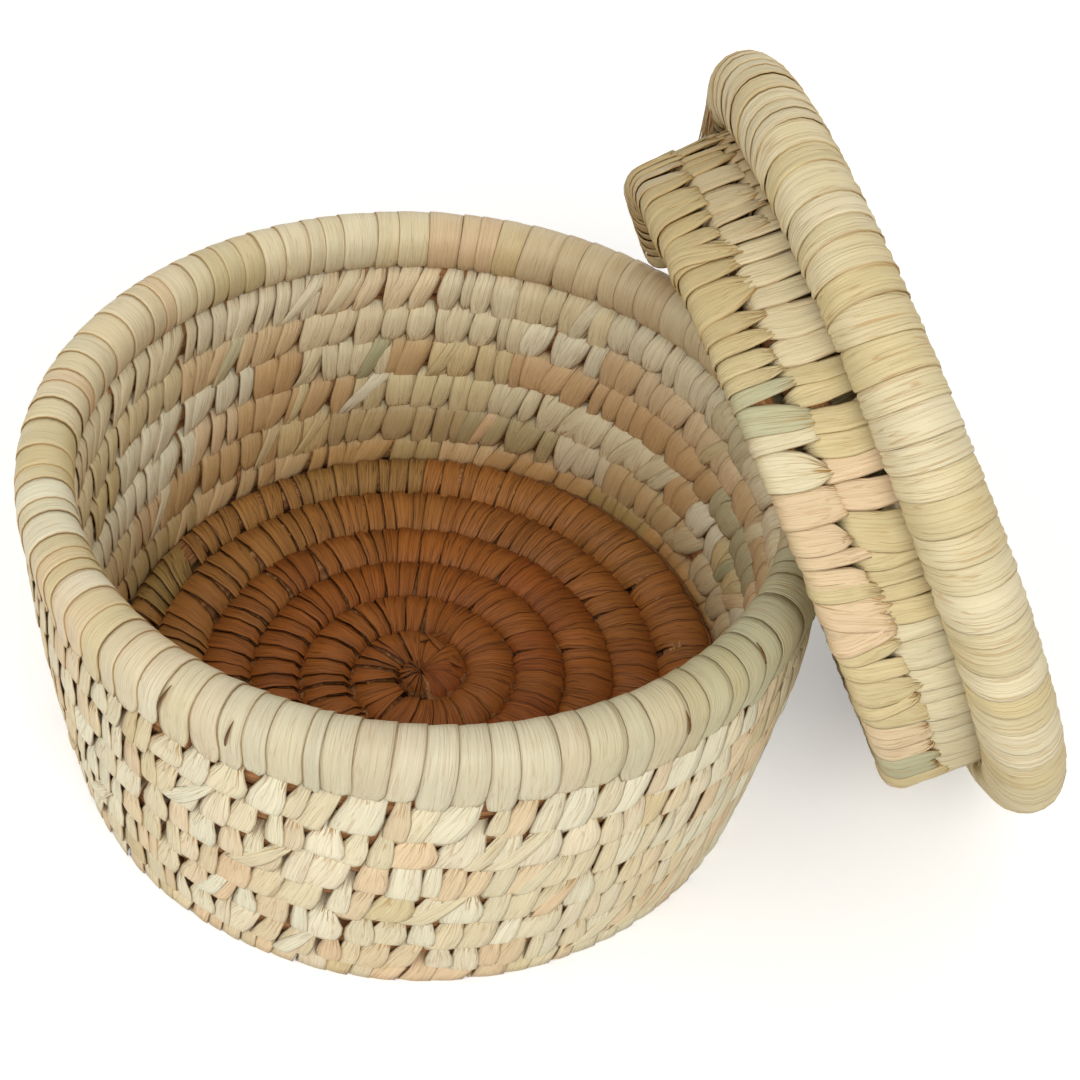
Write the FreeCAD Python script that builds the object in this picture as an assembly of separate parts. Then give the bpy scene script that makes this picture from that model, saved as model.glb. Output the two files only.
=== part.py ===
import FreeCAD, Part
import math
import os

V = FreeCAD.Vector
UP = V(0, 0, 1)

# A covered basket that keeps flatbreads warm, coiled from palm fibre.
# A bundle of fibre wrapped with palm leaf is wound from the middle of the floor
# outwards. A second run goes round and up as the wall, and a thicker turn closes
# the rim. The lid is a wound disc in a thick rim, with a collar that drops into
# the mouth. It is off, and leans on the basket's rim with its own rim on the table.
# Millimetres. The origin is on the table under the middle of the basket, Z is up.

# Wall coil: level rows, each of which climbs to the next in the same quarter turn
wall_rows = 7
wall_pitch = 15.85
wall_thick = 15.5
wall_foot_radius = 117.5
wall_flare = 9.3
wall_roundness = 1.6
climb_start = -30.0

# Floor coil: a flat spiral whose outer turn is dished up towards the wall
floor_pitch = 18.6
floor_height = 16.0
floor_dish = 9.0
floor_dish_turns = 1.6
floor_start_angle = -70.0
floor_centre = V(0.7, 1.5, 0)

# Rim coil: one thicker turn that closes the wall
rim_radius = 127.0
rim_tube = 18.6
rim_joint_angle = 20.0

# Lid: a flat spiral disc inside a thick rim coil
lid_rim_radius = 125.7
lid_rim_tube = 23.2
lid_joint_angle = 65.0
disc_pitch = 18.6
disc_height = 15.5
disc_rise = 3.0
disc_start_angle = 40.0

# Collar coil under the lid, a steady screw whose lower end runs free
collar_radius = 106.8
collar_pitch = 14.4
collar_thick = 15.0
collar_turns = 2.22
collar_end_angle = 13.2

# Where the lid leans: the way its top faces, and where its middle stands
lid_azimuth = 17.6
lid_lean = 23.9
lid_x = 149.2
lid_y = 33.3

# Spaces between turns and between pieces, thin ends, and flats to stand on
turn_gap = 0.7
piece_gap = 0.3
joint_gap = 0.6
end_sweep = 46.0
end_width = 0.45
end_height = 0.35
edge_run = 0.7
edge_parts = 6
edge_width = 3.6
edge_height = 7.0
edge_swing = 1.0
flat_share = 0.1
lid_flat_depth = 0.5
wound_sides = 6
rim_sides = 8
gap_samples = 24


def outline(width, height, sides):
    """An outline across a coil: x is outwards and y is up."""
    turn = math.pi / sides if sides % 4 == 0 else 0.0
    corners = []
    for i in range(sides):
        a = 2 * math.pi * i / sides + turn
        corners.append((math.cos(a), math.sin(a)))
    wide = max(x for x, y in corners)
    high = max(y for x, y in corners)
    return [(x / wide * width / 2, y / high * height / 2) for x, y in corners]


def placed(shape_outline, station):
    """The outline as a closed wire, square to the path at a station."""
    point, direction = station
    outward = direction.cross(UP).normalize()
    up = outward.cross(direction)
    corners = [point + outward * x + up * y for x, y in shape_outline]
    return Part.makePolygon(corners + corners[:1])


def arc_middle(start, tangent, end):
    """The middle of the arc that leaves start along tangent for end."""
    chord = end - start
    side = chord - tangent * chord.dot(tangent)
    if side.Length < 1e-6 * chord.Length:
        return None
    side.normalize()
    centre = start + side * (chord.dot(chord) / (2 * chord.dot(side)))
    middle = (start + end) * 0.5 - centre
    middle.normalize()
    return centre + middle * (start - centre).Length


def edge_through(start, middle, end):
    """An arc through three points, or a straight run where there is no middle."""
    if middle is None:
        return Part.LineSegment(start, end).toShape()
    return Part.Arc(start, middle, end).toShape()


def biarc(station_a, station_b):
    """Two arcs that join two stations and keep both of their directions."""
    p0, t0 = station_a
    p1, t1 = station_b
    v = p1 - p0
    a = 2 * (1 - t0.dot(t1))
    b = 2 * v.dot(t0 + t1)
    c = -v.dot(v)
    reach = -c / b if a < 1e-9 else (math.sqrt(b * b - 4 * a * c) - b) / (2 * a)
    joint = (p0 + t0 * reach + p1 - t1 * reach) * 0.5
    first = edge_through(p0, arc_middle(p0, t0, joint), joint)
    second = edge_through(joint, arc_middle(p1, t1 * -1, joint), p1)
    return [first, second]


def path(stations):
    """The line of a coil through its stations."""
    edges = []
    for pair in zip(stations[:-1], stations[1:]):
        edges.extend(biarc(*pair))
    return Part.Wire(edges)


def station(angle, radius, z, climb=0.0, grow=0.0, centre=V(0, 0, 0)):
    """A point on a turn and its direction, given its climb and growth a turn."""
    a = math.radians(angle)
    outward = V(math.cos(a), math.sin(a), 0)
    along = V(-math.sin(a), math.cos(a), 0)
    round_length = 2 * math.pi * radius
    direction = along + outward * (grow / round_length) + UP * (climb / round_length)
    return centre + outward * radius + UP * z, direction.normalize()


def tube(stations, first, last=None):
    """One unbroken tube through the stations, of one outline or narrowing to another."""
    profiles = [placed(first, stations[0])]
    if last:
        profiles.append(placed(last, stations[-1]))
    return path(stations).makePipeShell(profiles, True, False)


def lengths(stations, wound):
    """The lengths of one unbroken tube, each upright at both of its ends."""
    made = []
    for a, b in zip(stations[:-1], stations[1:]):
        level = abs(a[1].z) + abs(b[1].z) < 1e-9 and abs(a[0].z - b[0].z) < 1e-9
        made.append(tube([a, b], wound, None if level else wound))
    return made


def least_gap(stations, width, height):
    """The least space between the turns of a coil, measured on points of its path."""
    points = []
    for edge in path(stations).Edges:
        points.extend(edge.discretize(gap_samples)[:-1])
    run = (points[1] - points[0]).Length
    apart = int(2 * max(width, height) / run) + 1
    least = None
    for i, a in enumerate(points):
        for b in points[i + apart:]:
            d = b - a
            if d.Length > 2 * max(width, height):
                continue
            level = math.hypot(d.x, d.y)
            needed = math.hypot(width * level, height * d.z) / d.Length
            space = d.Length - needed
            least = space if least is None else min(least, space)
    return least


def spiral(pitch, width, height, reach, start_angle, centre, z, dish, dish_turns):
    """A flat coil whose outer end thins out along the bound that it reaches."""
    step = pitch / 2
    axis = V(math.cos(math.radians(start_angle)), math.sin(math.radians(start_angle)), 0)
    turns = 0
    for i in range(12):
        out = station(start_angle + 360 * turns, 1, 0)[0]
        turns = (reach - width / 2 - step / 2 - centre.dot(out)) / pitch

    def height_at(turn):
        share = max(0.0, 1 - (turns - turn) / dish_turns)
        return z + dish * min(1.0, share) ** 2

    def spiral_station(turn):
        half = int(2 * turn + 1e-9)
        side = -step / 2 if half % 2 == 0 else step / 2
        radius = step * (half + 1)
        climb = (height_at(turn + 0.01) - height_at(turn - 0.01)) / 0.02
        middle = centre + axis * side
        return station(start_angle + 360 * turn, radius, height_at(turn), climb, 0, middle)

    stations = [spiral_station(i / 4) for i in range(int(4 * turns) + 1)]
    stations.append(spiral_station(turns))
    wound = outline(width, height, wound_sides)
    coil = tube(stations, wound)

    point = stations[-1][0]
    r0 = math.hypot(point.x, point.y)
    r1 = reach - edge_width / 2
    a0 = math.degrees(math.atan2(point.y, point.x))
    edge = [stations[-1]]
    for i in range(1, edge_parts + 1):
        share = i / edge_parts
        angle = a0 + 360 * edge_run * share
        edge.append(station(angle, r0 + (r1 - r0) * share, point.z, 0, (r1 - r0) / edge_run))
    thin = outline(edge_width, edge_height, wound_sides)

    start, heading = stations[0]
    outward = heading.cross(UP)
    side = [start + outward * x + UP * y for x, y in wound if x > 0]
    side.sort(key=lambda p: p.z)
    low = start - UP * (height / 2)
    high = start + UP * (height / 2)
    cap = Part.Face(Part.makePolygon([low] + side + [high, low])).revolve(start, UP, -180)
    print("flat coil, least gap between turns", round(least_gap(stations, width, height), 2), "mm")
    return coil.fuse([tube(edge, wound, thin), cap])


def cut_flat(shape, depth_of_ground=60.0):
    """Cut away what lies below the table."""
    box = shape.BoundBox
    ground = Part.makeBox(box.XLength + 20, box.YLength + 20, depth_of_ground)
    ground.translate(V(box.XMin - 10, box.YMin - 10, -depth_of_ground))
    return shape.cut(ground)


def one_solid(shape):
    """The single solid of a fused shape."""
    shape = shape.removeSplitter()
    if len(shape.Solids) != 1:
        print("pieces in this coil", len(shape.Solids))
    return shape.Solids[0]


row_height = wall_pitch - turn_gap
first_row_z = row_height / 2 - flat_share * row_height
top_row_z = first_row_z + wall_pitch * (wall_rows - 1)
rim_z = top_row_z + row_height / 2 + piece_gap + rim_tube / 2
floor_z = floor_height / 2 - flat_share * floor_height


def row_radius(row):
    """The radius of a wall row, rounded in at the foot and nearly upright at the top."""
    share = row / (wall_rows - 1)
    return wall_foot_radius + wall_flare * (1 - (1 - share) ** wall_roundness)


def wall_coil():
    """The wall, with both of its ends thinned out beside the climbing turn."""
    stations = []
    for row in range(wall_rows):
        z = first_row_z + wall_pitch * row
        for quarter in range(4):
            angle = climb_start + 90 * (quarter + 1) + 360 * row
            stations.append(station(angle, row_radius(row), z))
    wound = outline(wall_thick, row_height, wound_sides)
    thin = outline(wall_thick * end_width, row_height * end_height, wound_sides)
    shift = row_height * (1 - end_height) / 2 - joint_gap

    run = math.radians(end_sweep) / (2 * math.pi)
    climb = 2 * shift / run
    low, high = row_radius(0), row_radius(wall_rows - 1)
    head_start = station(climb_start + 90 - end_sweep, low, first_row_z - shift, climb)
    tail_end = station(climb_start + end_sweep, high, top_row_z + shift, climb)
    head = tube([head_start, stations[0]], thin, wound)
    tail = tube([stations[-1], tail_end], wound, thin)
    gap = least_gap(stations, wall_thick, row_height)
    print("wall coil, least gap between rows", round(gap, 2), "mm")
    coil = head.fuse(lengths(stations, wound) + [tail])
    return cut_flat(one_solid(coil))


def floor_coil():
    """The floor, wound from a rounded start out to where the wall climbs past its edge."""
    crossing = row_radius((floor_z + floor_dish - first_row_z) / wall_pitch)
    reach = crossing - wall_thick / 2 - piece_gap
    coil = spiral(floor_pitch, floor_pitch - turn_gap, floor_height, reach,
                  floor_start_angle, floor_centre, floor_z, floor_dish, floor_dish_turns)
    return cut_flat(one_solid(coil))


def ring_coil(radius, size, z, joint_angle):
    """One thick turn whose two ends meet at a joint."""
    slot = math.degrees(joint_gap / radius)
    sweep = 360 - slot
    stations = []
    for i in range(5):
        stations.append(station(joint_angle + slot / 2 + sweep * i / 4, radius, z))
    return tube(stations, outline(size, size, rim_sides))


def disc_coil():
    """The lid's disc, wound like the floor and kept flat."""
    reach = lid_rim_radius - lid_rim_tube / 2 - piece_gap - edge_swing
    coil = spiral(disc_pitch, disc_pitch - turn_gap, disc_height, reach,
                  disc_start_angle, V(0, 0, 0), disc_rise, 0.0, 1.0)
    return one_solid(coil)


def collar_coil():
    """The collar, a screw of a little over two turns under the disc."""
    height = collar_pitch - turn_gap
    top_z = disc_rise - disc_height / 2 - piece_gap - height / 2
    low_z = top_z - collar_pitch * collar_turns
    count = math.ceil(4 * collar_turns)
    stations = []
    for i in range(count + 1):
        share = i / count
        angle = collar_end_angle + 360 * collar_turns * share
        z = low_z + (top_z - low_z) * share
        stations.append(station(angle, collar_radius, z, collar_pitch))
    gap = least_gap(stations, collar_thick, height)
    print("collar coil, least gap between turns", round(gap, 2), "mm")
    first, *rest = lengths(stations, outline(collar_thick, height, wound_sides))
    return one_solid(first.fuse(rest))


def lean(shape):
    """Move a lid piece from the lid's own axes to where the lid leans."""
    azimuth = math.radians(lid_azimuth)
    tilt = math.radians(lid_lean)
    top = V(math.cos(tilt) * math.cos(azimuth), math.cos(tilt) * math.sin(azimuth), math.sin(tilt))
    level = V(-math.sin(azimuth), math.cos(azimuth), 0)
    high = top.cross(level)
    corners = outline(lid_rim_tube, lid_rim_tube, rim_sides)
    drop = max(x * high.z + y * top.z for x, y in corners)
    z = lid_rim_radius * high.z + drop - lid_flat_depth
    matrix = FreeCAD.Matrix(level.x, high.x, top.x, lid_x,
                            level.y, high.y, top.y, lid_y,
                            level.z, high.z, top.z, z,
                            0, 0, 0, 1)
    moved = shape.copy()
    moved.Placement = FreeCAD.Placement(matrix)
    return moved


def build():
    """Every piece by the name of its node."""
    lid_rim = ring_coil(lid_rim_radius, lid_rim_tube, 0.0, lid_joint_angle)
    return {
        "floor_coil": floor_coil(),
        "wall_coil": wall_coil(),
        "rim_coil": ring_coil(rim_radius, rim_tube, rim_z, rim_joint_angle),
        "lid_disc_coil": lean(disc_coil()),
        "lid_collar_coil": lean(collar_coil()),
        "lid_rim_coil": cut_flat(lean(lid_rim)),
    }


os.makedirs("parts", exist_ok=True)
for name, shape in build().items():
    shape.exportStep("parts/" + name + ".step")
    print(name, "volume", round(shape.Volume / 1000, 1), "cm3, valid", shape.isValid())
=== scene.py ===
# %% [markdown]
# A tortilla warmer coiled from palm. A bundle of palm fibre is wrapped with strips
# of palm leaf, and every strip also bites into the turn before it, so the basket is
# nothing but a few long coils held by some eighteen hundred small wraps. The packed
# solids already give each coil its size and its place. This file dresses them: it
# lays a brown bundle along each coil, wraps the strips over it one by one, and gives
# the leaf its colour, its fibres and its creases.

# %% Load the frame
import math
import random

import bmesh
import bpy
from mathutils import Matrix, Vector


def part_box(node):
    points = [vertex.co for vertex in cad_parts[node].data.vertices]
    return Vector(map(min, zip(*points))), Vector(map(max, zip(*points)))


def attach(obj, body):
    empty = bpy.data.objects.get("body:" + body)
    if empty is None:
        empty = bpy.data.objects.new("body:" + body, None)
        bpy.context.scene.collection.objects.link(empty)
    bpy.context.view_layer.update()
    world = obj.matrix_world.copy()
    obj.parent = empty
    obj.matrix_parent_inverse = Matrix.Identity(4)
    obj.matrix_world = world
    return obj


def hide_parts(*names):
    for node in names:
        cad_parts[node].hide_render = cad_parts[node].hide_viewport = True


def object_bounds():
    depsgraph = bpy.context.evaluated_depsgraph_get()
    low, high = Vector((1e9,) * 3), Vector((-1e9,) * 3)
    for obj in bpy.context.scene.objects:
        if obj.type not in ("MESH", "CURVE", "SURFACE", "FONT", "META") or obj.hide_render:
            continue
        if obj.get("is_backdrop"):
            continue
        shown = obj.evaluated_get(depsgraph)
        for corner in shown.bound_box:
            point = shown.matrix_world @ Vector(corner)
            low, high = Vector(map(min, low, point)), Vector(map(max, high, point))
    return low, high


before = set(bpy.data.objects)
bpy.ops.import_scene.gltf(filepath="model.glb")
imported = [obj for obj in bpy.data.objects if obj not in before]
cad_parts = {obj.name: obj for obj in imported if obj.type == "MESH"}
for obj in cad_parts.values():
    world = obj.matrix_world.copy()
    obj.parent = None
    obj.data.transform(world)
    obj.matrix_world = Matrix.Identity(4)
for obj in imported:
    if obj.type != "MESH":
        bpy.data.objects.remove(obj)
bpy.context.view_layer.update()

mm = 0.001
print("solids:", sorted(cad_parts))

# %% [markdown]
# The camera comes first. Its place was worked out from the ellipses of the rim: it
# looks down at 44 degrees from about 0.7 m away, with a long lens and a slight roll.
# Blender measures a lens in millimetres on a 36 mm sensor, so a focal length in
# picture widths is multiplied by 36.

# %% Place the camera
camera_rise = math.radians(43.96)
camera_roll = math.radians(-7.13)
camera_distance = 0.73096
camera_slide = (-0.0384, -0.02788)
focal_share = 1.8937
sensor_mm = 36.0
look_at = Vector((0, 0, 0.05))

right = Vector((1, 0, 0))
up = Vector((0, math.sin(camera_rise), math.cos(camera_rise)))
back = Vector((0, -math.cos(camera_rise), math.sin(camera_rise)))
camera_right = math.cos(camera_roll) * right - math.sin(camera_roll) * up
camera_up = math.sin(camera_roll) * right + math.cos(camera_roll) * up
camera_data = bpy.data.cameras.new("camera")
camera_data.lens = focal_share * sensor_mm
camera_data.sensor_width = sensor_mm
camera_data.clip_start = 0.01
camera = bpy.data.objects.new("camera", camera_data)
bpy.context.scene.collection.objects.link(camera)
place = look_at + camera_distance * back - camera_slide[0] * right - camera_slide[1] * up
turned = Matrix((camera_right, camera_up, back)).transposed().to_4x4()
camera.matrix_world = Matrix.Translation(place) @ turned
bpy.context.scene.camera = camera
print("camera at", [round(v, 3) for v in place])

# %% [markdown]
# A coil is a line with a size. At every turn along it we want five things: the
# middle of the bundle, the way out, the way up, and half the bundle's width and
# height. A curve object could hold the line, but a wrap has to ask for any spot on
# it, so each coil gets one short function instead. The bundles and the wraps both
# ask these functions where to go, so no wrap can leave the coil that it sits on.

# %% Turns and directions
def smooth(share):
    """0 to 1 with a soft start and a soft stop."""
    share = min(1.0, max(0.0, share))
    return share * share * (3 - 2 * share)


def ways(angle):
    """The way out and the way up at an angle round the basket."""
    return Vector((math.cos(angle), math.sin(angle), 0)), Vector((0, 0, 1))


print("the way out at a quarter turn:", [round(v, 3) for v in ways(math.tau / 4)[0]])

# %% [markdown]
# The wall is one tube that goes round seven times. It could climb steadily, like a
# screw, but a weaver keeps the rows level and steps up to the next row always in the
# same place. So each row here is level for three quarters of its turn and climbs in
# the last quarter. The wall leans out more at its foot than at its top.

# %% The wall's line
wall_rows = 7
wall_pitch = 15.85 * mm
wall_half_wide = 7.75 * mm
wall_half_high = 7.575 * mm
wall_foot_radius = 117.5 * mm
wall_flare = 9.3 * mm
wall_roundness = 1.6
climb_share = 0.25
climb_end = math.radians(60)
end_turns = 46 / 360
wall_end = wall_rows - climb_share + end_turns
thin_wide, thin_high = 0.45, 0.35
flat_share = 0.1


def row_radius(row):
    """The radius of a wall row, between rows too."""
    share = min(1.0, max(0.0, row / (wall_rows - 1)))
    return wall_foot_radius + wall_flare * (1 - (1 - share) ** wall_roundness)


def wall_line(turn):
    """Level rows, each climbing to the next, with both ends thinned out."""
    whole = min(max(math.floor(turn), 0), wall_rows - 1)
    climbed = smooth((turn - whole - (1 - climb_share)) / climb_share)
    level = min(whole + climbed, wall_rows - 1)
    head = max(0.0, -turn / end_turns)
    tail = max(0.0, (turn - wall_rows + climb_share) / end_turns)
    ending = min(1.0, head + tail)
    wide = wall_half_wide * (1 - (1 - thin_wide) * ending)
    high = wall_half_high * (1 - (1 - thin_high) * ending)
    z = wall_half_high * (1 - 2 * flat_share) + wall_pitch * level
    z += (wall_half_high - high) * (smooth(tail) - smooth(head))
    out, rise = ways(climb_end + math.tau * turn)
    return out * row_radius(level) + rise * z, out, rise, wide, high


top_row_z = wall_line(wall_rows - 1)[0].z
print("wall rows:", wall_rows, "top row at", round(top_row_z / mm, 1), "mm")

# %% [markdown]
# The floor is a flat spiral, wound from the middle outwards. Its last turns are
# dished up to meet the wall, and its end thins out along the foot row. The lid's disc
# is the same spiral, so what both need is worked out in one function.

# %% The floor's line
floor_pitch = 18.6 * mm
floor_half_wide = 8.95 * mm
floor_half_high = 8.0 * mm
floor_start = math.radians(-70)
floor_centre = Vector((0.7 * mm, 1.5 * mm, 0))
floor_rise = floor_half_high * (1 - 2 * flat_share)
floor_dish = 9.0 * mm
floor_dish_turns = 1.6
floor_turns = 5.24
first_offset = 0.25
edge_turns = 0.7
edge_half_wide = 1.8 * mm
edge_half_high = 3.5 * mm
floor_end = floor_turns + edge_turns


def spiral_sizes(turn, turns, half_high):
    """How far a flat spiral has thinned, its radius, and its half width and height."""
    thin = max(0.0, (turn - turns) / edge_turns)
    wide = floor_half_wide + (edge_half_wide - floor_half_wide) * thin
    high = half_high + (edge_half_high - half_high) * thin
    radius = floor_pitch * (min(turn, turns) + first_offset) + floor_half_wide - wide
    return thin, radius, wide, high


def floor_line(turn):
    """A flat spiral that is dished up at its edge and thins out along the wall."""
    thin, radius, wide, high = spiral_sizes(turn, floor_turns, floor_half_high)
    dish = max(0.0, 1 - (floor_turns - min(turn, floor_turns)) / floor_dish_turns)
    out, rise = ways(floor_start + math.tau * turn)
    middle = floor_centre * (1 - thin) + out * radius + rise * (floor_rise + floor_dish * dish**2)
    return middle, out, rise, wide, high


print("floor: last turn's middle at", round(floor_line(floor_turns)[0].length / mm), "mm")

# %% [markdown]
# Light would show through a spiral in three places: its eye, the wedge where its last
# turn leaves the bound, and the spread between the dished turns. A weaver stuffs them
# with spare fibre. Widening the coil there would bulge its surface, so the spare
# fibre gets lines of its own, which lie a little below the wraps.

# %% The lines of the spare fibre
heart_radius = 4.4 * mm
heart_height = 0.85
seam_overlap = 1.3 * mm
seam_least = 0.6 * mm
seam_height = 0.7
filler_drop = 2.0 * mm
filler_half_wide = 4.0 * mm
filler_half_high = 5.0 * mm


def heart_line(turn):
    """A small tuft that fills the eye of the floor."""
    out, rise = ways(floor_start + math.tau * turn)
    middle = floor_centre + out * heart_radius + rise * floor_rise
    return middle, out, rise, heart_radius, floor_half_high * heart_height


def seam_sizes(turn, bound):
    """The radius and the half width of the wedge between a spiral and its bound."""
    inside = floor_pitch * (turn + first_offset) + floor_half_wide
    return (inside + bound) / 2, max((bound - inside) / 2 + seam_overlap, seam_least)


def seam_line(turn):
    """The strand between the floor's last turn and the wall's foot row."""
    middle, out, rise, wide, high = floor_line(turn)
    radius, wide = seam_sizes(turn, wall_foot_radius - wall_half_wide)
    return out * radius + rise * middle.z, out, rise, wide, high * seam_height


def filler_line(turn):
    """The fibre under the stitches where the dished turns of the floor spread apart."""
    inner, outer = floor_line(turn - 1)[0], floor_line(turn)[0]
    out, rise = ways(floor_start + math.tau * turn)
    return (inner + outer) / 2 - rise * filler_drop, out, rise, filler_half_wide, filler_half_high


print("seam at the floor's end:", round(seam_line(floor_turns)[3] / mm, 1), "mm half wide")

# %% [markdown]
# The rim is one thick turn that closes the mouth. Its radius, height and thickness
# are read from the box of its solid, which is safer than repeating the numbers.

# %% The rim's line
rim_low, rim_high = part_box("rim_coil")
rim_half = (rim_high.z - rim_low.z) / 2
rim_radius = (rim_high.x - rim_low.x) / 2 - rim_half
rim_z = (rim_high.z + rim_low.z) / 2
rim_start = math.radians(20)


def rim_line(turn):
    """One thick turn round the mouth."""
    out, rise = ways(rim_start + math.tau * turn)
    return out * rim_radius + rise * rim_z, out, rise, rim_half, rim_half


print("rim:", round(rim_radius / mm, 1), "mm at", round(rim_z / mm, 1), "mm")

# %% [markdown]
# The lid leans on the rim with its own rim on the table. Its lines could be worked
# out where it leans, but they are far simpler flat, so they are made in the lid's own
# axes and leaned at the end. Its middle comes from the box of its rim solid, which
# reaches equally far on every side, so the lid here and the solid can't drift apart.

# %% Where the lid leans
lid_azimuth = math.radians(17.6)
lid_lean = math.radians(23.9)
lid_flat_depth = 0.5 * mm
lid_low, lid_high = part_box("lid_rim_coil")
lid_middle = (lid_low + lid_high) / 2
lid_middle.z = (lid_high.z - lid_flat_depth) / 2
lid_top = Vector((math.cos(lid_lean) * math.cos(lid_azimuth),
                  math.cos(lid_lean) * math.sin(lid_azimuth), math.sin(lid_lean)))
lid_level = Vector((-math.sin(lid_azimuth), math.cos(lid_azimuth), 0))
lid_turn = Matrix((lid_level, lid_top.cross(lid_level), lid_top)).transposed()


def leaned(middle, out, rise, wide, high):
    """A spot on a coil of the lid, moved to where the lid leans."""
    return lid_middle + lid_turn @ middle, lid_turn @ out, lid_turn @ rise, wide, high


print("lid middle at", [round(v / mm, 1) for v in lid_middle])

# %% [markdown]
# The lid has three coils: a disc, wound like the floor but flat, a screw of two turns
# under it that plugs into the mouth, and a thick rim. The disc too has a tuft in its
# eye and a strand in the seam at its edge.

# %% The lid's lines
lid_rim_radius = 125.7 * mm
lid_rim_half = 11.6 * mm
disc_rise = 3.0 * mm
disc_half_high = 7.75 * mm
disc_start = math.radians(40)
disc_turns = 5.36
disc_end = disc_turns + edge_turns
collar_radius = 106.8 * mm
collar_pitch = 14.4 * mm
collar_half_wide = 7.5 * mm
collar_half_high = 6.85 * mm
collar_turns = 2.22
collar_start = math.radians(13.2)
piece_gap = 0.3 * mm
collar_top = disc_rise - disc_half_high - piece_gap - collar_half_high


def disc_line(turn):
    """The lid's flat spiral."""
    thin, radius, wide, high = spiral_sizes(turn, disc_turns, disc_half_high)
    out, rise = ways(disc_start + math.tau * turn)
    return leaned(out * radius + rise * disc_rise, out, rise, wide, high)


def disc_heart_line(turn):
    """The tuft in the eye of the disc."""
    out, rise = ways(disc_start + math.tau * turn)
    return leaned(out * heart_radius + rise * disc_rise, out, rise, heart_radius,
                  disc_half_high * heart_height)


def disc_seam_line(turn):
    """The strand between the disc's last turn and the lid's rim."""
    out, rise = ways(disc_start + math.tau * turn)
    radius, wide = seam_sizes(turn, lid_rim_radius - lid_rim_half)
    return leaned(out * radius + rise * disc_rise, out, rise, wide, disc_half_high * seam_height)


def collar_line(turn):
    """The screw under the disc, from its free end up."""
    z = collar_top - collar_pitch * (collar_turns - turn)
    out, rise = ways(collar_start + math.tau * turn)
    return leaned(out * collar_radius + rise * z, out, rise, collar_half_wide, collar_half_high)


def lid_rim_line(turn):
    """The thick turn round the lid."""
    out, rise = ways(math.tau * turn)
    return leaned(out * lid_rim_radius, out, rise, lid_rim_half, lid_rim_half)


print("collar's free end at", [round(v / mm) for v in collar_line(0)[0]])

# %% [markdown]
# Now the wrap itself, which is the whole basket in small. A strip goes once round
# the bundle and its end dives into the turn before. Seen across the coil it is a
# loop: a head, two full sides, and a tail that narrows and slips under. A circle
# would do for a plain rope, but a wrap is pulled out of round by its tail, so each
# side of the loop is a list of points, from the head to the tail. A point says how far
# out to the side it is, how far along towards the tail, how wide the strip is there,
# and how much it bulges, in millimetres. Past 1 the numbers run down the tail itself.

# %% Turn two sides into a loop
def finer(side):
    """The same side of a loop with a point between each two, on a smooth curve."""
    across, *others = side[1]
    shown = [(-across, *others)] + side + [side[-1]]
    made = [side[0]]
    for a, b, c, d in zip(shown, shown[1:], shown[2:], shown[3:]):
        made.append(tuple((9 * (q + r) - p - t) / 16 for p, q, r, t in zip(a, b, c, d)))
        made.append(c)
    return made


def loop_points(front, behind, aim, side, head, foot, tail):
    """The loop across a coil: place, outward normal, and the numbers of its point."""
    way = (math.cos(aim), math.sin(aim))
    aside = (-way[1], way[0])
    whole = [(-a, along, width, bulge, -1) for a, along, width, bulge in reversed(behind)]
    whole += [(a, along, width, bulge, 1) for a, along, width, bulge in front[1:]]
    spots = []
    for across, along, width, bulge, face in whole:
        if along < 0:
            reach = along * head
        else:
            reach = min(along, 1) * foot + max(0.0, along - 1) * tail
        spots.append((across * side * aside[0] + reach * way[0],
                      across * side * aside[1] + reach * way[1]))
    made = []
    for i, (across, along, width, bulge, face) in enumerate(whole):
        before, after = spots[max(i - 1, 0)], spots[min(i + 1, len(spots) - 1)]
        dx, dz = after[0] - before[0], after[1] - before[1]
        long = math.hypot(dx, dz) or 1.0
        made.append((spots[i], (-dz / long, dx / long), along, width, bulge * mm, face))
    return made


diamond = [(0, -1, 1, 0), (1, 0, 1, 0), (0, 1, 1, 0)]
print("round a diamond:", [spot for spot, *others in loop_points(diamond, diamond, 0, 1, 1, 1, 1)])

# %% [markdown]
# Leaf strips are cut by hand, and a weaver takes them from leaves of different ages:
# cream, straw, peach and grey-green, and brown ones for the floor. Colours here are
# written as they look on a screen and turned into Blender's linear values, because
# a blend of linear values looks like real light.

# %% Colours of leaf
def linear(red, green, blue):
    """A screen colour from 0 to 255 as Blender's linear colour."""
    return tuple(((c / 255 + 0.055) / 1.055) ** 2.4 if c > 10 else c / 3294.6
                 for c in (red, green, blue))


cream = linear(229, 216, 179)
straw = linear(215, 197, 148)
peach = linear(230, 202, 163)
orange = linear(208, 172, 124)
sage = linear(182, 180, 142)
olive = linear(172, 142, 84)
pale = linear(236, 230, 202)
frosted = linear(204, 200, 176)
# Painted light: the pale cream that lightens the top rows inside the wall.
painted_light_cream = linear(246, 232, 196)
cinnamon = linear(172, 102, 42)
rust = linear(162, 88, 34)
honey = linear(184, 134, 72)
tan = linear(178, 134, 72)
umber = linear(64, 34, 14)


def blended(a, b, share):
    """A colour between two."""
    return tuple(x + (y - x) * share for x, y in zip(a, b))


def pick(dice, choices):
    """A colour near one of the choices."""
    colours, weights = zip(*choices)
    one, two = dice.choices(colours, weights, k=2)
    return blended(one, two, dice.uniform(0, 0.3))


def shaded(dice, colour, spread):
    """The same leaf, a little lighter or darker."""
    level = dice.uniform(1 - spread, 1 + spread * 0.6)
    return tuple(min(1.0, c * level) for c in colour)


print("cream is", [round(c, 3) for c in cream], "in linear values")

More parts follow.
